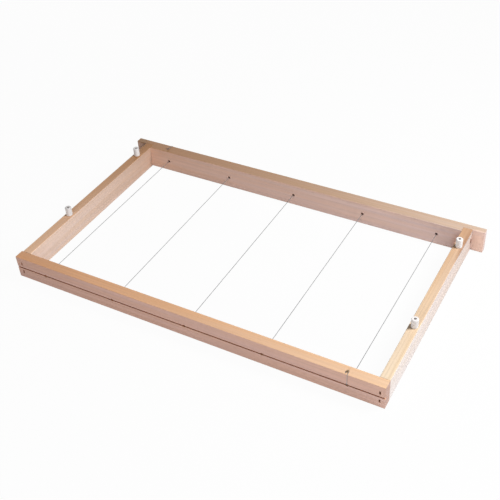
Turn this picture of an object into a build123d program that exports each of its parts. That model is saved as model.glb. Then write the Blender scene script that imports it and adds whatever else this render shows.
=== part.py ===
"""Wired comb frame for a beehive, lying flat: four wooden bars, one taut wire, spacers and fasteners.

Millimetres. X runs along the bars, +Y from the bottom bar to the top bar, +Z up through the frame's
thickness. The origin is under the middle of the frame, on the surface that it lies on.
"""
from build123d import *
import os

os.makedirs("parts", exist_ok=True)

# Frame, outside sizes
frame_width = 366.0
frame_height = 222.0
bar_width = 23.5

# Bars
top_bar_depth = 12.0
ear_length = 11.5
ear_depth = 6.8
bottom_bar_depth = 9.5
bottom_bar_overhang = 1.2
side_bar_thickness = 9.0
housing_depth = 0.6
arris_radius = 0.5

# Wire, its holes and the saw kerfs it lies in
wire_diameter = 0.5
wire_sides = 8
wire_hole_diameter = 2.8
strand_count = 5
strand_margin = 23.0
kerf_width = 1.3
kerf_depth = 2.5

# Tie-off tacks, their distance from the bar's outer face and how far they stand to the left of the strand
tack_shank_diameter = 1.4
tack_head_diameter = 2.0
tack_head_thickness = 0.6
tack_depth = 8.0
first_tack_inset = 6.8
first_tack_shift = 2.2
last_tack_inset = 3.4
last_tack_shift = 0.0
wire_tail = 2.4

# Spacer tubes and their nails, each nailed on by eye
spacer_diameter = 6.2
spacer_height = 9.0
spacer_bore_depth = 1.2
spacer_edge = 0.35
left_spacer_inset = 4.5
right_spacer_inset = 4.0
left_rear_spacer_to_top = 30.8
right_rear_spacer_to_top = 35.5
left_front_spacer_to_bottom = 74.0
right_front_spacer_to_bottom = 72.4
nail_shank_diameter = 1.5
nail_head_diameter = 2.2
nail_head_thickness = 0.7
nail_head_play = 0.1
nail_length = 22.0
nail_point = 2.5

# Wide staples, bottom bar to side bars
wide_crown = 12.7
wide_leg = 28.0
wide_wire_width = 1.3
wide_wire_thickness = 1.1

# Narrow staples, side bars to the top bar's shoulders
narrow_crown = 6.0
narrow_leg = 25.0
narrow_wire_width = 1.6
narrow_wire_thickness = 1.0

# Common to all staples; the wood stays open only over the ends of a long crown
crown_sink = 1.0
crown_mouth = 3.4
staple_bend = 0.6
staple_point = 1.5

# Clearance round driven metal and under the wire
fit = 0.05

# Places worked out from the sizes above
half_width = frame_width / 2
half_height = frame_height / 2
mid_height = bar_width / 2
inner_half_width = half_width - side_bar_thickness
side_bar_mid = half_width - side_bar_thickness / 2
top_inner = half_height - top_bar_depth
ear_underside = half_height - ear_depth
side_seat = ear_underside + housing_depth
bottom_inner = -half_height + bottom_bar_depth
shoulder_mid = (top_inner + side_seat) / 2
wire_radius = wire_diameter / 2
wire_lift = wire_radius + fit
strand_reach = inner_half_width - strand_margin
strand_pitch = 2 * strand_reach / (strand_count - 1)
strand_places = [-strand_reach + i * strand_pitch for i in range(strand_count)]
tie_radius = tack_shank_diameter / 2 + wire_lift
spacer_bore_diameter = nail_head_diameter + 2 * nail_head_play
left_spacer_x = -half_width + left_spacer_inset
right_spacer_x = half_width - right_spacer_inset
left_spacers = {
    "rear": (left_spacer_x, half_height - left_rear_spacer_to_top),
    "front": (left_spacer_x, -half_height + left_front_spacer_to_bottom),
}
right_spacers = {
    "rear": (right_spacer_x, half_height - right_rear_spacer_to_top),
    "front": (right_spacer_x, -half_height + right_front_spacer_to_bottom),
}
wide_sizes = (wide_crown, wide_leg, wide_wire_width, wide_wire_thickness)
narrow_sizes = (narrow_crown, narrow_leg, narrow_wire_width, narrow_wire_thickness)

# Each bar that the wire goes through: its outer face and the way from there into the bar
top_face = (half_height, -1)
bottom_face = (-half_height, 1)
last_face = bottom_face if strand_count % 2 else top_face

# Each end of the wire: its strand, the face it comes out of and its tack's place there
first_tie = (strand_places[0], top_face, first_tack_inset, first_tack_shift)
last_tie = (strand_places[-1], last_face, last_tack_inset, last_tack_shift)


def block(x_range, y_range, z_range):
    """A box between the given limits along X, Y and Z."""
    (x0, x1), (y0, y1), (z0, z1) = x_range, y_range, z_range
    place = Pos((x0 + x1) / 2, (y0 + y1) / 2, (z0 + z1) / 2)
    return place * Box(abs(x1 - x0), abs(y1 - y0), abs(z1 - z0))


def round_bar(start, end, diameter):
    """A cylinder from start to end."""
    axis = Vector(*end) - Vector(*start)
    base = Plane(origin=start, z_dir=axis)
    return extrude(base * Circle(diameter / 2), axis.length)


def eased(bar, grain):
    """The bar with its long arrises lightly rounded."""
    return fillet(bar.edges().filter_by(grain), arris_radius)


def staple_frame(place, drive, crown_axis):
    """A plane at the crown's middle: X along the crown, Y the way the staple is driven."""
    normal = Vector(*crown_axis).cross(Vector(*drive))
    return Plane(origin=place, x_dir=crown_axis, z_dir=normal)


def staple(plane, crown, leg, width, thickness):
    """A wire staple: a flat-topped U with rounded shoulders and chisel points."""
    half = crown / 2
    inner = half - thickness
    left = [(-inner, thickness), (-inner, leg), (-half, leg - staple_point)]
    right = [(half, leg - staple_point), (inner, leg), (inner, thickness)]
    outline = make_face(Polyline(*left, (-half, 0), (half, 0), *right, close=True))
    shoulders = outline.vertices().sort_by(Axis.Y)[:2]
    outline = fillet(shoulders, staple_bend)
    return extrude(plane * outline, width / 2, both=True)


def staple_slot(plane, crown, leg, width, thickness):
    """The room that a driven staple takes in the wood, open over the crown's ends where its legs went in."""
    half = crown / 2 + fit
    deep = leg + fit
    wide = width / 2 + fit
    inner = crown / 2 - thickness - fit
    legs = [Pos(side * (half + inner) / 2, deep / 2) * Rectangle(half - inner, deep) for side in (-1, 1)]
    seat = Pos(0, (thickness - fit) / 2) * Rectangle(2 * half, thickness + fit)
    open_length = min(crown_mouth, half)
    mouths = [
        Pos(side * (half - open_length / 2), -crown_sink / 2) * Rectangle(open_length, crown_sink)
        for side in (-1, 1)
    ]
    return extrude(plane * (seat + legs + mouths), wide, both=True)


def wide_staple_plane(side):
    """Where a wide staple joins the bottom bar to a side bar."""
    return staple_frame((side * side_bar_mid, -half_height + crown_sink, mid_height), (0, 1, 0), (0, 0, 1))


def narrow_staple_plane(side):
    """Where a narrow staple joins a side bar to the top bar's shoulder."""
    place = (side * (half_width - crown_sink), shoulder_mid, mid_height)
    return staple_frame(place, (-side, 0, 0), (0, 0, 1))


def wire_cuts(face, inner_face):
    """What a bar needs for the wire: the kerf along its outer face, the strands' holes, any tack hole."""
    outer_face, inward = face
    reach = half_width + ear_length
    floor = outer_face + inward * kerf_depth
    kerf_z = (mid_height - kerf_width / 2, mid_height + kerf_width / 2)
    cuts = [block((-reach, reach), (outer_face, floor), kerf_z)]
    for x in strand_places:
        cuts.append(round_bar((x, outer_face, mid_height), (x, inner_face, mid_height), wire_hole_diameter))
    for tie in (first_tie, last_tie):
        if tie[1] == face:
            x, y = tack_place(*tie)
            deep = bar_width - tack_depth - fit
            cuts.append(round_bar((x, y, bar_width), (x, y, deep), tack_shank_diameter + 2 * fit))
    return cuts


def tack_place(strand_x, face, inset, shift):
    """Middle of a tie-off tack, beside the strand whose end it holds."""
    outer_face, inward = face
    return strand_x - shift - tie_radius, outer_face + inward * inset


def make_top_bar():
    """Top bar with rebated ends: each ear carries the frame and a housing takes a side bar."""
    right = [
        (half_width + ear_length, half_height),
        (half_width + ear_length, ear_underside),
        (half_width, ear_underside),
        (half_width, side_seat),
        (inner_half_width, side_seat),
        (inner_half_width, top_inner),
    ]
    left = [(-x, y) for x, y in reversed(right)]
    bar = extrude(make_face(Polyline(*right, *left, close=True)), bar_width)
    bar = eased(bar, Axis.X)
    cuts = wire_cuts(top_face, top_inner)
    cuts += [staple_slot(narrow_staple_plane(side), *narrow_sizes) for side in (-1, 1)]
    return bar - cuts


def make_bottom_bar():
    """Bottom bar across the ends of both side bars, left a little long past the left one."""
    left_end = -half_width - bottom_bar_overhang
    bar = block((left_end, half_width), (-half_height, bottom_inner), (0, bar_width))
    bar = eased(bar, Axis.X)
    cuts = wire_cuts(bottom_face, bottom_inner)
    cuts += [staple_slot(wide_staple_plane(side), *wide_sizes) for side in (-1, 1)]
    return bar - cuts


def make_side_bar(side, spacers):
    """Side bar between the bottom bar and its housing in the top bar, drilled for its spacers' nails."""
    bar = block((side * inner_half_width, side * half_width), (bottom_inner, side_seat), (0, bar_width))
    bar = eased(bar, Axis.Y)
    nail_in_wood = nail_length - (spacer_height - spacer_bore_depth)
    cuts = [
        staple_slot(wide_staple_plane(side), *wide_sizes),
        staple_slot(narrow_staple_plane(side), *narrow_sizes),
    ]
    for x, y in spacers.values():
        end = (x, y, bar_width - nail_in_wood - fit)
        cuts.append(round_bar((x, y, bar_width), end, nail_shank_diameter + 2 * fit))
    return bar - cuts


def make_spacer(x, y):
    """Moulded spacer tube, bored for its nail and counterbored for the nail's head."""
    body = Cylinder(spacer_diameter / 2, spacer_height, align=(Align.CENTER, Align.CENTER, Align.MIN))
    body = chamfer(body.edges(), spacer_edge)
    seat = spacer_height - spacer_bore_depth
    body -= round_bar((0, 0, 0), (0, 0, seat), nail_shank_diameter + 2 * fit)
    body -= round_bar((0, 0, seat), (0, 0, spacer_height), spacer_bore_diameter)
    return Pos(x, y, bar_width) * body


def make_nail(x, y):
    """Round nail, its head on the shoulder inside a spacer and its shank in the side bar."""
    seat = bar_width + spacer_height - spacer_bore_depth
    shank = nail_shank_diameter / 2
    head = nail_head_diameter / 2
    profile = make_face(
        Polyline(
            (0, nail_head_thickness),
            (head, nail_head_thickness),
            (head, 0),
            (shank, 0),
            (shank, nail_point - nail_length),
            (0, -nail_length),
            close=True,
        )
    )
    return Pos(x, y, seat) * revolve(Plane.XZ * profile, Axis.Z)


def make_tack(*tie):
    """Tie-off tack, driven until its head holds down the wire that goes round it."""
    x, y = tack_place(*tie)
    under_head = bar_width + wire_diameter + 2 * fit
    shank = round_bar((x, y, bar_width - tack_depth), (x, y, under_head), tack_shank_diameter)
    head = round_bar((x, y, under_head), (x, y, under_head + tack_head_thickness), tack_head_diameter)
    return shank + head


def tie_off_corners(strand_x, face, inset, shift):
    """Corners of one end of the wire with their bend radii, from its cut tail back to the strand."""
    outer_face, inward = face
    tack_x, tack_y = tack_place(strand_x, face, inset, shift)
    tail_x, run_x = tack_x - tie_radius, tack_x + tie_radius
    turn = tack_y + inward * tie_radius
    on_face = outer_face - inward * wire_lift
    on_top = bar_width + wire_lift
    hole_bend = wire_hole_diameter / 2
    arris_bend = arris_radius + wire_lift
    tie_bend = tie_radius - fit
    return [
        ((tail_x, tack_y - inward * wire_tail, on_top), None),
        ((tail_x, turn, on_top), tie_bend),
        ((run_x, turn, on_top), tie_bend),
        ((run_x, on_face, on_top), arris_bend),
        ((strand_x, on_face, mid_height), hole_bend),
    ]


def make_comb_wire():
    """One wire: tied off on the top bar, drawn to and fro through both bars, tied off at its last strand."""
    bend = wire_hole_diameter / 2
    top_run = half_height - kerf_depth + wire_lift
    bottom_run = -half_height + kerf_depth - wire_lift
    corners = tie_off_corners(*first_tie)
    for i, (x, next_x) in enumerate(zip(strand_places, strand_places[1:])):
        run = bottom_run if i % 2 == 0 else top_run
        corners += [((x, run, mid_height), bend), ((next_x, run, mid_height), bend)]
    corners += reversed(tie_off_corners(*last_tie))
    points = [point for point, radius in corners]
    radii = [radius for point, radius in corners if radius]
    path = FilletPolyline(*points, radius=radii)
    section = RegularPolygon(wire_radius, wire_sides)
    wire = sweep(Plane(origin=path @ 0, z_dir=path % 0) * section, path)
    share = wire.volume / (section.area * path.length)
    print(f"comb wire: {path.length:.1f} mm long, volume {share:.4f} of section times length")
    print(f"comb wire: bends of {min(radii):.2f} to {max(radii):.2f} mm")
    return wire


nodes = {
    "top_bar": make_top_bar(),
    "bottom_bar": make_bottom_bar(),
    "comb_wire": make_comb_wire(),
    "first_wire_tack": make_tack(*first_tie),
    "last_wire_tack": make_tack(*last_tie),
}
for hand, side, spacers in (("left", -1, left_spacers), ("right", 1, right_spacers)):
    nodes[f"{hand}_side_bar"] = make_side_bar(side, spacers)
    nodes[f"{hand}_front_staple"] = staple(wide_staple_plane(side), *wide_sizes)
    nodes[f"{hand}_rear_staple"] = staple(narrow_staple_plane(side), *narrow_sizes)
    for end, place in spacers.items():
        nodes[f"{hand}_{end}_spacer"] = make_spacer(*place)
        nodes[f"{hand}_{end}_spacer_nail"] = make_nail(*place)

for name, solid in nodes.items():
    solid.label = name
    export_step(solid, f"parts/{name}.step")
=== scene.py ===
"""Looks of a wired comb frame for a beehive: planed limewood bars, white spacers, steel wire and fasteners.

Everything is in metres in the frame's own axes: X along the bars, +Y from the bottom bar to the top bar
and +Z up.
"""
import math

import bpy
from bpy.props import FloatProperty, FloatVectorProperty, PointerProperty
from bpy.types import Operator, Panel, PropertyGroup
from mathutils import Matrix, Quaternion, Vector


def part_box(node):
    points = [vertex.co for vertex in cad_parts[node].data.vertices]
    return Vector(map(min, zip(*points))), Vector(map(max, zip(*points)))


bl_info = {
    "name": "Wired comb frame",
    "version": (1, 0, 0),
    "blender": (4, 5, 0),
    "location": "3D View > Sidebar > Comb Frame",
    "description": "Dresses a wooden comb frame with its wood, plastic and steel and sets up a pale studio",
    "category": "Object",
}

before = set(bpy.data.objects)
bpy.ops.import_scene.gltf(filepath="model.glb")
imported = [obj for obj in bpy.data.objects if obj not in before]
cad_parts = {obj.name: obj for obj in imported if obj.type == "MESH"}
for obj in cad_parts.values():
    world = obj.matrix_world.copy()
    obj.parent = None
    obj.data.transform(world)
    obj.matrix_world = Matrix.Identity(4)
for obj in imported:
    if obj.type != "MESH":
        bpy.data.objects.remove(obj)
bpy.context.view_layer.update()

MM = 0.001
CLIP_START = 10 * MM

# Turns about Z that lay a bar's grain along X
ALONG_X, ALONG_Y = 0.0, -math.pi / 2

# Sockets whose names aren't unique: those of Map Range, and those of Mix for numbers and for colours
VALUE, FROM_MIN, FROM_MAX, TO_MIN, TO_MAX = range(5)
FACTOR, NUMBER_A, NUMBER_B, COLOUR_A, COLOUR_B = 0, 2, 3, 6, 7
MIXED_COLOUR = 2

# What Map Range spreads of a pattern: where an effect begins and where it is full
MIDDLE_OF_NOISE = {FROM_MIN: 0.35, FROM_MAX: 0.65}
MOST_OF_NOISE = {FROM_MIN: 0.3, FROM_MAX: 0.7}
FLECKS_IN_NOISE = {FROM_MIN: 0.58, FROM_MAX: 0.72}
LATE_WOOD_IN_RING = {FROM_MIN: 0.35, FROM_MAX: 0.95}
ENDS_IN_NORMAL = {FROM_MIN: 0.6, FROM_MAX: 0.9}
PATCH_IN_REACH = {FROM_MIN: 1.4, FROM_MAX: 0.6}
# Ambient occlusion over which the painted shade in kerfs, holes and tight corners fades in
RECESS_SHADE_IN_OPEN_AIR = {FROM_MIN: 0.7, FROM_MAX: 0.3}

# Tones between which a noise moves a colour
STEEL_TONES = {TO_MIN: 0.85, TO_MAX: 1.1}
PLASTIC_TONES = {TO_MIN: 0.985, TO_MAX: 1.01}

# The wave texture's own rate: its phase per metre at a scale of one
WAVE_RATE = 20


def linear(hex_colour):
    """An sRGB hex colour as linear red, green and blue."""
    channels = [int(hex_colour[i:i + 2], 16) / 255 for i in (1, 3, 5)]
    return tuple(c / 12.92 if c <= 0.04045 else ((c + 0.055) / 1.055) ** 2.4 for c in channels)


def opaque(colour):
    """A colour with full alpha, as colour sockets take it."""
    return (*colour, 1.0)


class WoodSettings(PropertyGroup):
    ring_spacing: FloatProperty(
        name="Ring spacing", description="Width of one year's growth", unit="LENGTH", default=3.2 * MM)
    ring_depth: FloatProperty(
        name="Ring depth", description="How much darker the late wood is",
        subtype="FACTOR", min=0, max=1, default=0.10)
    sway: FloatProperty(
        name="Sway", description="How far the rings wander along a bar", unit="LENGTH", default=9 * MM)
    streak_width: FloatProperty(
        name="Streak width", description="Width of a streak of fibres", unit="LENGTH", default=1.3 * MM)
    streak_stretch: FloatProperty(
        name="Streak stretch", description="Length of a streak over its width", default=45.0)
    streak_depth: FloatProperty(
        name="Streak depth", description="Change of tone between streaks",
        subtype="FACTOR", min=0, max=1, default=0.22)
    fleck_width: FloatProperty(
        name="Fleck width", description="Width of a ray fleck", unit="LENGTH", default=0.45 * MM)
    fleck_stretch: FloatProperty(
        name="Fleck stretch", description="Length of a ray fleck over its width", default=5.0)
    fleck_depth: FloatProperty(
        name="Fleck depth", description="How much darker a ray fleck is",
        subtype="FACTOR", min=0, max=1, default=0.08)
    cloud_size: FloatProperty(
        name="Cloud size", description="Size of the slow changes of tone", unit="LENGTH", default=16 * MM)
    cloud_depth: FloatProperty(
        name="Cloud depth", description="Change of tone between clouds",
        subtype="FACTOR", min=0, max=1, default=0.20)
    warm_size: FloatProperty(
        name="Warm size", description="Width of the warmer bands along the grain",
        unit="LENGTH", default=4 * MM)
    warm_colour: FloatVectorProperty(
        name="Warm colour", description="Filter of the warmer bands",
        subtype="COLOR", min=0, max=1, default=linear("#FFFAF1"))
    end_shade: FloatProperty(
        name="End shade", description="Tone of the sawn ends, whose open pores take in light",
        subtype="FACTOR", min=0, max=1, default=0.80)
    patch_fray: FloatProperty(
        name="Patch fray", description="How much the streaks fray a stain's rim", default=0.8)
    # Painted shade: the colour that kerfs, holes and tight corners are darkened towards where ambient
    # occlusion finds them shut in
    recess_shade_colour: FloatVectorProperty(
        name="Recess shade colour", description="Painted shade in kerfs, holes and tight corners",
        subtype="COLOR", min=0, max=1, default=linear("#BC7652"))
    recess_shade_reach: FloatProperty(
        name="Recess shade reach", description="How far the painted shade reaches", unit="LENGTH", default=2.8 * MM)
    relief: FloatProperty(
        name="Relief", description="Height of the grain's relief", unit="LENGTH", default=0.08 * MM)
    relief_strength: FloatProperty(
        name="Relief strength", description="How much the relief turns the light",
        subtype="FACTOR", min=0, max=1, default=0.15)
    fleck_relief: FloatProperty(
        name="Fleck relief", description="Height of a ray fleck over that of the streaks", default=-0.5)
    roughness: FloatProperty(
        name="Roughness", description="Gloss of the planed wood", subtype="FACTOR", min=0, max=1, default=0.6)
    ior: FloatProperty(name="IOR", description="Refraction of the wood's fibres", default=1.5)
    shine: FloatProperty(
        name="Shine", description="Strength of the highlights on bare wood",
        subtype="FACTOR", min=0, max=1, default=0.3)


class SteelSettings(PropertyGroup):
    wire_colour: FloatVectorProperty(
        name="Wire colour", description="Drawn comb wire",
        subtype="COLOR", min=0, max=1, default=linear("#7A7A7C"))
    wire_bare: FloatProperty(
        name="Bare wire", description="Share of the wire that isn't dull with oxide",
        subtype="FACTOR", min=0, max=1, default=0.1)
    wire_roughness: FloatProperty(
        name="Wire roughness", description="Gloss of the wire",
        subtype="FACTOR", min=0, max=1, default=0.45)
    # Painted highlight: the wire down the bottom bar's front face is painted lighter
    front_highlight_colour: FloatVectorProperty(
        name="Front highlight colour", description="Painted highlight on the wire down the bottom bar's front face",
        subtype="COLOR", min=0, max=1, default=linear("#B9B4B2"))
    front_highlight_fade: FloatProperty(
        name="Front highlight fade", description="Length over which the painted highlight begins",
        unit="LENGTH", default=0.3 * MM)
    # Painted shade and a painted reflection of the brown wood, on the staples and on the first tack
    staple_shaded_colour: FloatVectorProperty(
        name="Staple colour", description="Galvanised staples, with painted shade and a painted reflection of the wood",
        subtype="COLOR", min=0, max=1, default=linear("#7A5A45"))
    staple_roughness: FloatProperty(
        name="Staple roughness", description="Gloss of the staples",
        subtype="FACTOR", min=0, max=1, default=0.45)
    nail_colour: FloatVectorProperty(
        name="Nail colour", description="Black nails",
        subtype="COLOR", min=0, max=1, default=linear("#6A625C"))
    nail_roughness: FloatProperty(
        name="Nail roughness", description="Gloss of the nails",
        subtype="FACTOR", min=0, max=1, default=0.5)
    tack_colour: FloatVectorProperty(
        name="Tack colour", description="Brassed last tack",
        subtype="COLOR", min=0, max=1, default=linear("#9A8468"))
    tack_roughness: FloatProperty(
        name="Tack roughness", description="Gloss of the last tack",
        subtype="FACTOR", min=0, max=1, default=0.35)
    mark_size: FloatProperty(
        name="Mark size", description="Size of the marks that drawing leaves",
        unit="LENGTH", default=0.4 * MM)
    mark_gloss: FloatProperty(
        name="Mark gloss", description="Change of gloss between marks",
        subtype="FACTOR", min=0, max=1, default=0.08)


class SpacerSettings(PropertyGroup):
    colour: FloatVectorProperty(
        name="Colour", description="Moulded white polyethylene",
        subtype="COLOR", min=0, max=1, default=linear("#DFDBDA"))
    roughness: FloatProperty(
        name="Roughness", description="Gloss of the moulding", subtype="FACTOR", min=0, max=1, default=0.45)
    ior: FloatProperty(name="IOR", description="Refraction of polyethylene", default=1.5)
    shine: FloatProperty(
        name="Shine", description="Strength of the highlights",
        subtype="FACTOR", min=0, max=1, default=0.3)
    peel_size: FloatProperty(
        name="Peel size", description="Size of the orange peel", unit="LENGTH", default=1.2 * MM)
    peel_height: FloatProperty(
        name="Peel height", description="Height of the orange peel", unit="LENGTH", default=0.03 * MM)
    peel_strength: FloatProperty(
        name="Peel strength", description="How much the orange peel turns the light",
        subtype="FACTOR", min=0, max=1, default=0.1)


class StageSettings(PropertyGroup):
    floor_colour: FloatVectorProperty(
        name="Floor colour", description="Pale paper sweep under the frame",
        subtype="COLOR", min=0, max=1, default=linear("#CFCFCF"))
    floor_size: FloatProperty(
        name="Floor size", description="Side of the square floor", unit="LENGTH", default=12.0)
    floor_height: FloatProperty(
        name="Floor height", description="Height of the floor, just clear of the frame's lower faces",
        unit="LENGTH", default=-0.2 * MM)
    floor_glow: FloatProperty(
        name="Floor white", description="Share of plain white in what the camera sees of the floor",
        subtype="FACTOR", min=0, max=1, default=0.965)
    sky_strength: FloatProperty(
        name="Sky strength", description="Even light from all round", min=0, default=0.02)
    key_place: FloatVectorProperty(
        name="Key lamp", description="Place of the key lamp",
        subtype="TRANSLATION", default=(0.546, 0.147, 0.566))
    key_size: FloatVectorProperty(
        name="Key size", description="Width and height of the key lamp",
        size=2, unit="LENGTH", default=(0.25, 0.25))
    key_power: FloatProperty(
        name="Key power", description="Power of the key lamp in watts", min=0, default=7.10)
    fill_place: FloatVectorProperty(
        name="Fill lamp", description="Place of the fill lamp",
        subtype="TRANSLATION", default=(0.12, -1.15, 0.33))
    fill_size: FloatVectorProperty(
        name="Fill size", description="Width and height of the fill lamp",
        size=2, unit="LENGTH", default=(0.5, 0.5))
    fill_power: FloatProperty(
        name="Fill power", description="Power of the fill lamp in watts", min=0, default=7.00)
    back_place: FloatVectorProperty(
        name="Back lamp", description="Place of the back lamp",
        subtype="TRANSLATION", default=(-0.80, 0.90, 0.26))
    back_size: FloatVectorProperty(
        name="Back size", description="Width and height of the back lamp",
        size=2, unit="LENGTH", default=(0.5, 0.3))
    back_power: FloatProperty(
        name="Back power", description="Power of the back lamp in watts", min=0, default=3.0)
    camera_place: FloatVectorProperty(
        name="Camera", description="Place of the camera",
        subtype="TRANSLATION", default=(0.32049, -0.52490, 0.51659))
    camera_aim: FloatVectorProperty(
        name="Camera aim", description="Point in the middle of the picture",
        subtype="TRANSLATION", default=(0.00217, 0.00288, 0.01175))
    camera_roll: FloatProperty(
        name="Camera roll", description="Turn of the camera about its line of sight",
        subtype="ANGLE", default=math.radians(-3.784))
    camera_lens: FloatProperty(
        name="Lens", description="Focal length in millimetres on a 36 mm sensor", default=60.915)


def add(tree, kind, inputs=None, **settings):
    """Adds a node. An input is a value, an output to link or a node whose first output is linked."""
    node = tree.nodes.new(kind)
    for name, value in settings.items():
        setattr(node, name, value)
    for socket, value in (inputs or {}).items():
        if isinstance(value, bpy.types.Node):
            value = value.outputs[0]
        if isinstance(value, bpy.types.NodeSocket):
            tree.links.new(value, node.inputs[socket])
        else:
            node.inputs[socket].default_value = value
    return node


def new_material(name):
    """An empty node material."""
    material = bpy.data.materials.new(name)
    material.use_nodes = True
    material.node_tree.nodes.clear()
    return material


def finish_material(material, shader):
    """Links a shader to the material's output."""
    add(material.node_tree, "ShaderNodeOutputMaterial", {"Surface": shader})
    return material


# Each bar is sawn from its own board: colours of its faces and of its edges from the -X or -Y end to the
# other, the way its grain runs, where the tree's pith was and where along the board the bar begins. These
# colours are partly the wood's own and partly painted light: darker towards the end further from the lamps,
# and different on faces and edges as the lamps fall on them
BOARDS = {
    "top_bar": (("#D4AE9A", "#DFC5C1"), ("#AA7C55", "#C0AA9A"), ALONG_X, (0.0, -0.16, 0.03), 0.10),
    "bottom_bar": (("#CAA497", "#D3AFA3"), ("#E4AC82", "#E0BC9B"), ALONG_X, (0.0, 0.15, -0.05), 0.37),
    "left_side_bar": (("#EED7CB", "#BFA18F"), ("#F8CEAE", "#A67342"), ALONG_Y, (0.0, 0.13, 0.045), 0.61),
    "right_side_bar": (("#E3DAD7", "#C8B8B1"), ("#DFCBB1", "#BC987B"), ALONG_Y, (0.0, -0.14, -0.03), 0.83),
}

# Stains and painted light and shade in a bar: the middle and the reach along each axis in metres, colour and
# strength
STAINS_AND_PAINTED_LIGHT = {
    "top_bar": (
        # Painted light on the front of the right ear, painted shade warmed by bounced light in the corner
        # beside the right side bar, and painted shade on the top of the left ear
        ((0.18875, 0.1042, 0.0105), (0.012, 0.003, 0.022), "#EBC8B6", 1.00),
        ((0.1730, 0.0990, 0.0080), (0.010, 0.003, 0.016), "#CE9A80", 0.70),
        ((-0.1900, 0.1080, 0.0235), (0.012, 0.012, 0.002), "#96714F", 1.00),
    ),
    "right_side_bar": (
        # Brown heart along the outer edge and its paler far end, both stains, and painted shade standing in
        # for the slit beside the rear staple
        ((0.1825, 0.085, 0.0235), (0.0028, 0.040, 0.003), "#8A5C3E", 0.60),
        ((0.1790, 0.098, 0.0235), (0.0065, 0.016, 0.004), "#B28A6A", 0.50),
        ((0.1830, 0.1019, 0.01175), (0.0020, 0.0030, 0.0050), "#9A5C42", 0.90),
    ),
}


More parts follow.
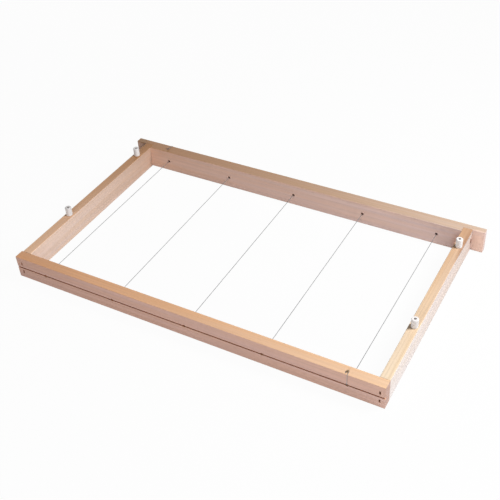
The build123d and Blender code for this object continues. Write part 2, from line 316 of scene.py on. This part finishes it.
def limewood(node, wood, board):
    """Limewood, planed and bare: pale, even and fine, with faint rings, soft streaks and short ray flecks."""
    lit_face_colours, lit_edge_colours, turn, pith, start = board
    first_end, last_end = (corner[0] if turn == ALONG_X else corner[1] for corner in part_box(node))
    material = new_material(f"limewood_{node}")
    tree = material.node_tree
    place = add(tree, "ShaderNodeTexCoord").outputs["Object"]
    grain = add(tree, "ShaderNodeMapping", {"Vector": place, "Location": pith, "Rotation": (0, 0, turn)})
    streaky = add(tree, "ShaderNodeMapping",
                  {"Vector": grain, "Location": (start, 0, 0), "Scale": (1 / wood.streak_stretch, 1, 1)})
    dashed = add(tree, "ShaderNodeMapping",
                 {"Vector": grain, "Location": (start, 0, 0), "Scale": (1 / wood.fleck_stretch, 1, 1)})

    # Slow clouds along the grain, streaks of fibre and ray flecks
    clouds = add(tree, "ShaderNodeTexNoise", {"Vector": dashed, "Scale": 1 / wood.cloud_size, "Detail": 2.0})
    streaks = add(tree, "ShaderNodeTexNoise",
                  {"Vector": streaky, "Scale": 1 / wood.streak_width, "Detail": 4.0, "Roughness": 0.6})
    rays = add(tree, "ShaderNodeTexNoise", {"Vector": dashed, "Scale": 1 / wood.fleck_width, "Detail": 1.0})
    flecks = add(tree, "ShaderNodeMapRange", {VALUE: rays, **FLECKS_IN_NOISE},
                 interpolation_type="SMOOTHSTEP")

    # Rings round a pith outside the bar, which wander along it and come and go with the clouds
    wander = add(tree, "ShaderNodeTexNoise", {"Vector": streaky, "Scale": 1 / wood.cloud_size, "Detail": 2.0})
    bent = add(tree, "ShaderNodeVectorMath",
               {0: wander.outputs["Color"], 1: (wood.sway,) * 3, 2: grain}, operation="MULTIPLY_ADD")
    rings = add(tree, "ShaderNodeTexWave",
                {"Vector": bent, "Scale": math.tau / (WAVE_RATE * wood.ring_spacing)},
                wave_type="RINGS", rings_direction="X", wave_profile="SAW")
    late = add(tree, "ShaderNodeMapRange", {VALUE: rings.outputs["Fac"], **LATE_WOOD_IN_RING},
               interpolation_type="SMOOTHSTEP")
    depth = add(tree, "ShaderNodeMapRange", {VALUE: clouds, **MIDDLE_OF_NOISE, TO_MAX: wood.ring_depth})
    ring_shade = add(tree, "ShaderNodeMath", {0: late, 1: depth}, operation="MULTIPLY")

    # Tone: one at mean noise, darker in late wood and flecks
    mean_tone = 1 - (wood.streak_depth + wood.cloud_depth) / 2
    tone = add(tree, "ShaderNodeMath", {0: streaks, 1: wood.streak_depth, 2: mean_tone},
               operation="MULTIPLY_ADD")
    tone = add(tree, "ShaderNodeMath", {0: clouds, 1: wood.cloud_depth, 2: tone}, operation="MULTIPLY_ADD")
    tone = add(tree, "ShaderNodeMath", {0: flecks, 1: -wood.fleck_depth, 2: tone}, operation="MULTIPLY_ADD")
    tone = add(tree, "ShaderNodeMath", {0: tone, 1: ring_shade}, operation="SUBTRACT")

    # The board's colour on wide faces, narrow edges and sawn ends, with painted light in its change along the
    # bar and between faces and edges
    normal = add(tree, "ShaderNodeNewGeometry").outputs["Normal"]
    facing = add(tree, "ShaderNodeVectorRotate", {"Vector": normal, "Angle": turn}, rotation_type="Z_AXIS")
    facing = add(tree, "ShaderNodeVectorMath", {0: facing}, operation="ABSOLUTE")
    facing = add(tree, "ShaderNodeSeparateXYZ", {0: facing})
    along = add(tree, "ShaderNodeSeparateXYZ", {0: grain}).outputs["X"]
    along = add(tree, "ShaderNodeMapRange", {VALUE: along, FROM_MIN: first_end, FROM_MAX: last_end})
    face, edge = (
        add(tree, "ShaderNodeMix",
            {FACTOR: along, COLOUR_A: opaque(linear(first)), COLOUR_B: opaque(linear(last))},
            data_type="RGBA").outputs[MIXED_COLOUR]
        for first, last in (lit_face_colours, lit_edge_colours))
    colour = add(tree, "ShaderNodeMix", {FACTOR: facing.outputs["Z"], COLOUR_A: face, COLOUR_B: edge},
                 data_type="RGBA").outputs[MIXED_COLOUR]
    end_tone = add(tree, "ShaderNodeMapRange",
                   {VALUE: facing.outputs["X"], **ENDS_IN_NORMAL, TO_MIN: 1.0, TO_MAX: wood.end_shade})
    tone = add(tree, "ShaderNodeMath", {0: tone, 1: end_tone}, operation="MULTIPLY")
    colour = add(tree, "ShaderNodeVectorMath", {0: colour, "Scale": tone}, operation="SCALE")

    # Warmer bands along the grain
    warmth = add(tree, "ShaderNodeTexNoise", {"Vector": streaky, "Scale": 1 / wood.warm_size, "Detail": 3.0})
    warmth = add(tree, "ShaderNodeMapRange", {VALUE: warmth, **MIDDLE_OF_NOISE},
                 interpolation_type="SMOOTHSTEP")
    colour = add(tree, "ShaderNodeMix",
                 {FACTOR: warmth, COLOUR_A: colour, COLOUR_B: opaque(wood.warm_colour)},
                 data_type="RGBA", blend_type="MULTIPLY").outputs[MIXED_COLOUR]

    # Stains and painted light and shade, strongest in their middle and frayed along the streaks
    for middle, reach, patch, strength in STAINS_AND_PAINTED_LIGHT.get(node, ()):
        near = add(tree, "ShaderNodeMapping", {"Vector": place, "Location": middle, "Scale": reach},
                   vector_type="TEXTURE")
        near = add(tree, "ShaderNodeVectorMath", {0: near}, operation="LENGTH").outputs["Value"]
        near = add(tree, "ShaderNodeMath", {0: streaks, 1: wood.patch_fray, 2: near},
                   operation="MULTIPLY_ADD")
        share = add(tree, "ShaderNodeMapRange", {VALUE: near, **PATCH_IN_REACH, TO_MAX: strength},
                    interpolation_type="SMOOTHSTEP")
        colour = add(tree, "ShaderNodeMix",
                     {FACTOR: share, COLOUR_A: colour, COLOUR_B: opaque(linear(patch))},
                     data_type="RGBA").outputs[MIXED_COLOUR]

    # Painted shade: kerfs, holes and tight corners are darkened towards a brown by ambient occlusion
    open_air = add(tree, "ShaderNodeAmbientOcclusion", {"Distance": wood.recess_shade_reach}, samples=8,
                   only_local=True).outputs["AO"]
    recess_shade = add(tree, "ShaderNodeMapRange", {VALUE: open_air, **RECESS_SHADE_IN_OPEN_AIR})
    colour = add(tree, "ShaderNodeMix",
                 {FACTOR: recess_shade, COLOUR_A: colour, COLOUR_B: opaque(wood.recess_shade_colour)},
                 data_type="RGBA").outputs[MIXED_COLOUR]

    relief = add(tree, "ShaderNodeMath", {0: flecks, 1: wood.fleck_relief, 2: streaks},
                 operation="MULTIPLY_ADD")
    bump = add(tree, "ShaderNodeBump",
               {"Height": relief, "Strength": wood.relief_strength, "Distance": wood.relief})
    shader = add(tree, "ShaderNodeBsdfPrincipled",
                 {"Base Color": colour, "Roughness": wood.roughness, "IOR": wood.ior,
                  "Specular IOR Level": wood.shine, "Normal": bump})
    return finish_material(material, shader)


def steel(name, settings, colour, roughness, bare=1.0, highlight_before=None):
    """Steel with fine drawing marks, whose share that isn't bare metal is dull with oxide.

    Where a Y is given, the metal before it is painted lighter, a painted highlight.
    """
    material = new_material(name)
    tree = material.node_tree
    place = add(tree, "ShaderNodeTexCoord").outputs["Object"]
    marks = add(tree, "ShaderNodeTexNoise", {"Vector": place, "Scale": 1 / settings.mark_size, "Detail": 2.0})
    tone = add(tree, "ShaderNodeMapRange", {VALUE: marks, **MOST_OF_NOISE, **STEEL_TONES})
    if highlight_before is not None:
        # Painted highlight on the metal in front of the given Y
        front = add(tree, "ShaderNodeSeparateXYZ", {0: place}).outputs["Y"]
        highlight_from = highlight_before - settings.front_highlight_fade
        share = add(tree, "ShaderNodeMapRange",
                    {VALUE: front, FROM_MIN: highlight_before, FROM_MAX: highlight_from})
        colour = add(tree, "ShaderNodeMix",
                     {FACTOR: share, COLOUR_A: opaque(colour), COLOUR_B: opaque(settings.front_highlight_colour)},
                     data_type="RGBA").outputs[MIXED_COLOUR]
    colour = add(tree, "ShaderNodeVectorMath", {0: colour, "Scale": tone}, operation="SCALE")
    gloss = add(tree, "ShaderNodeMapRange",
                {VALUE: marks, **MOST_OF_NOISE,
                 TO_MIN: roughness - settings.mark_gloss, TO_MAX: roughness + settings.mark_gloss})
    shader = add(tree, "ShaderNodeBsdfPrincipled",
                 {"Base Color": colour, "Metallic": bare, "Roughness": gloss})
    return finish_material(material, shader)


def polyethylene(name, spacer):
    """Polyethylene, moulded: milky white with a soft gloss and a faint orange peel."""
    material = new_material(name)
    tree = material.node_tree
    place = add(tree, "ShaderNodeTexCoord").outputs["Object"]
    peel = add(tree, "ShaderNodeTexNoise", {"Vector": place, "Scale": 1 / spacer.peel_size, "Detail": 2.0})
    tone = add(tree, "ShaderNodeMapRange", {VALUE: peel, **MOST_OF_NOISE, **PLASTIC_TONES})
    colour = add(tree, "ShaderNodeVectorMath", {0: spacer.colour, "Scale": tone}, operation="SCALE")
    bump = add(tree, "ShaderNodeBump",
               {"Height": peel, "Strength": spacer.peel_strength, "Distance": spacer.peel_height})
    shader = add(tree, "ShaderNodeBsdfPrincipled",
                 {"Base Color": colour, "Roughness": spacer.roughness, "IOR": spacer.ior,
                  "Specular IOR Level": spacer.shine, "Normal": bump})
    return finish_material(material, shader)


def dress(node, material):
    """Gives a CAD node's object one material."""
    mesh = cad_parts[node].data
    mesh.materials.clear()
    mesh.materials.append(material)


class COMBFRAME_OT_bars(Operator):
    """Dresses the four wooden bars"""
    bl_idname = "comb_frame.bars"
    bl_label = "Wooden bars"

    def execute(self, context):
        wood = context.scene.comb_frame_wood
        for node, board in BOARDS.items():
            dress(node, limewood(node, wood, board))
        return {"FINISHED"}


class COMBFRAME_OT_spacers(Operator):
    """Dresses the spacer tubes"""
    bl_idname = "comb_frame.spacers"
    bl_label = "Spacer tubes"

    def execute(self, context):
        material = polyethylene("white_polyethylene", context.scene.comb_frame_spacers)
        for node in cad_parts:
            if node.endswith("_spacer"):
                dress(node, material)
        return {"FINISHED"}


class COMBFRAME_OT_metal(Operator):
    """Dresses the comb wire, staples, nails and tacks"""
    bl_idname = "comb_frame.metal"
    bl_label = "Wire and fasteners"

    def execute(self, context):
        settings = context.scene.comb_frame_steel
        bar_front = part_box("bottom_bar")[0][1]
        wire = steel("drawn_steel_wire", settings, settings.wire_colour, settings.wire_roughness,
                     settings.wire_bare, bar_front)
        staples = steel("shaded_galvanised_staple", settings, settings.staple_shaded_colour, settings.staple_roughness)
        nails = steel("black_nail", settings, settings.nail_colour, settings.nail_roughness)
        tack = steel("brassed_tack", settings, settings.tack_colour, settings.tack_roughness)
        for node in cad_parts:
            if node.endswith("_wire"):
                dress(node, wire)
            # The first tack takes the staples' painted shade
            if node.endswith("_staple") or node == "first_wire_tack":
                dress(node, staples)
            if node.endswith("_nail"):
                dress(node, nails)
            if node == "last_wire_tack":
                dress(node, tack)
        return {"FINISHED"}


class COMBFRAME_OT_stage(Operator):
    """Sets up the floor, the light and the camera"""
    bl_idname = "comb_frame.stage"
    bl_label = "Studio"

    def execute(self, context):
        stage = context.scene.comb_frame_stage
        context.scene.view_settings.view_transform = "Standard"
        self.make_floor(context, stage)
        self.make_sky(context, stage)
        self.make_lamp(context, "key", stage.key_place, stage.key_size, stage.key_power)
        self.make_lamp(context, "fill", stage.fill_place, stage.fill_size, stage.fill_power)
        self.make_lamp(context, "back", stage.back_place, stage.back_size, stage.back_power)
        self.make_camera(context, stage)
        return {"FINISHED"}

    def seen(self, tree):
        """1 where the camera sees a surface, straight on or in metal or glass."""
        path = add(tree, "ShaderNodeLightPath")
        seen = add(tree, "ShaderNodeMath",
                   {0: path.outputs["Is Camera Ray"], 1: path.outputs["Is Glossy Ray"]}, operation="MAXIMUM")
        return add(tree, "ShaderNodeMath", {0: seen, 1: path.outputs["Is Transmission Ray"]},
                   operation="MAXIMUM")

    def make_floor(self, context, stage):
        """A pale floor that looks white and keeps a soft shadow."""
        bpy.ops.mesh.primitive_plane_add(size=stage.floor_size, location=(0, 0, stage.floor_height))
        floor = context.object
        floor.name = "floor"
        material = new_material("white_paper")
        tree = material.node_tree
        paper = add(tree, "ShaderNodeBsdfDiffuse", {"Color": opaque(stage.floor_colour)})
        white = add(tree, "ShaderNodeEmission", {"Strength": 1.0})
        share = add(tree, "ShaderNodeMath", {0: self.seen(tree), 1: stage.floor_glow}, operation="MULTIPLY")
        finish_material(material, add(tree, "ShaderNodeMixShader", {0: share, 1: paper, 2: white}))
        # The white is only seen, so it isn't searched for light
        material.cycles.emission_sampling = "NONE"
        floor.data.materials.append(material)

    def make_sky(self, context, stage):
        """Even light from all round, white where it is seen."""
        world = bpy.data.worlds.new("studio")
        context.scene.world = world
        world.use_nodes = True
        tree = world.node_tree
        tree.nodes.clear()
        strength = add(tree, "ShaderNodeMix",
                       {FACTOR: self.seen(tree), NUMBER_A: stage.sky_strength, NUMBER_B: 1.0})
        sky = add(tree, "ShaderNodeBackground", {"Color": (1, 1, 1, 1), "Strength": strength})
        add(tree, "ShaderNodeOutputWorld", {"Surface": sky})

    def make_lamp(self, context, name, place, size, power):
        """A soft lamp that points at the frame."""
        lamp = bpy.data.lights.new(name, "AREA")
        lamp.shape = "RECTANGLE"
        lamp.size, lamp.size_y = size
        lamp.energy = power
        holder = bpy.data.objects.new(name, lamp)
        context.collection.objects.link(holder)
        holder.location = place
        holder.rotation_euler = (-Vector(place)).to_track_quat("-Z", "Y").to_euler()

    def make_camera(self, context, stage):
        """The camera at the photograph's place."""
        camera = bpy.data.cameras.new("camera")
        camera.lens = stage.camera_lens
        camera.clip_start = CLIP_START
        holder = bpy.data.objects.new("camera", camera)
        context.collection.objects.link(holder)
        sight = Vector(stage.camera_aim) - Vector(stage.camera_place)
        turn = sight.to_track_quat("-Z", "Y") @ Quaternion((0, 0, 1), stage.camera_roll)
        holder.location = stage.camera_place
        holder.rotation_euler = turn.to_euler()
        context.scene.camera = holder


class COMBFRAME_PT_panel(Panel):
    """Lists the comb frame's operators"""
    bl_label = "Comb Frame"
    bl_space_type = "VIEW_3D"
    bl_region_type = "UI"
    bl_category = "Comb Frame"

    def draw(self, context):
        for operator in OPERATORS:
            self.layout.operator(operator.bl_idname)


OPERATORS = (COMBFRAME_OT_bars, COMBFRAME_OT_spacers, COMBFRAME_OT_metal, COMBFRAME_OT_stage)
GROUPS = {
    "comb_frame_wood": WoodSettings,
    "comb_frame_steel": SteelSettings,
    "comb_frame_spacers": SpacerSettings,
    "comb_frame_stage": StageSettings,
}


def register():
    """Registers the settings, the operators and the panel."""
    for name, group in GROUPS.items():
        bpy.utils.register_class(group)
        setattr(bpy.types.Scene, name, PointerProperty(type=group))
    for item in (*OPERATORS, COMBFRAME_PT_panel):
        bpy.utils.register_class(item)


def unregister():
    """Takes away what register added."""
    for item in reversed((*OPERATORS, COMBFRAME_PT_panel)):
        bpy.utils.unregister_class(item)
    for name, group in reversed(GROUPS.items()):
        delattr(bpy.types.Scene, name)
        bpy.utils.unregister_class(group)


def main():
    """Builds the looks in order."""
    register()
    bpy.ops.comb_frame.bars()
    bpy.ops.comb_frame.spacers()
    bpy.ops.comb_frame.metal()
    bpy.ops.comb_frame.stage()


if __name__ == "__main__":
    main()
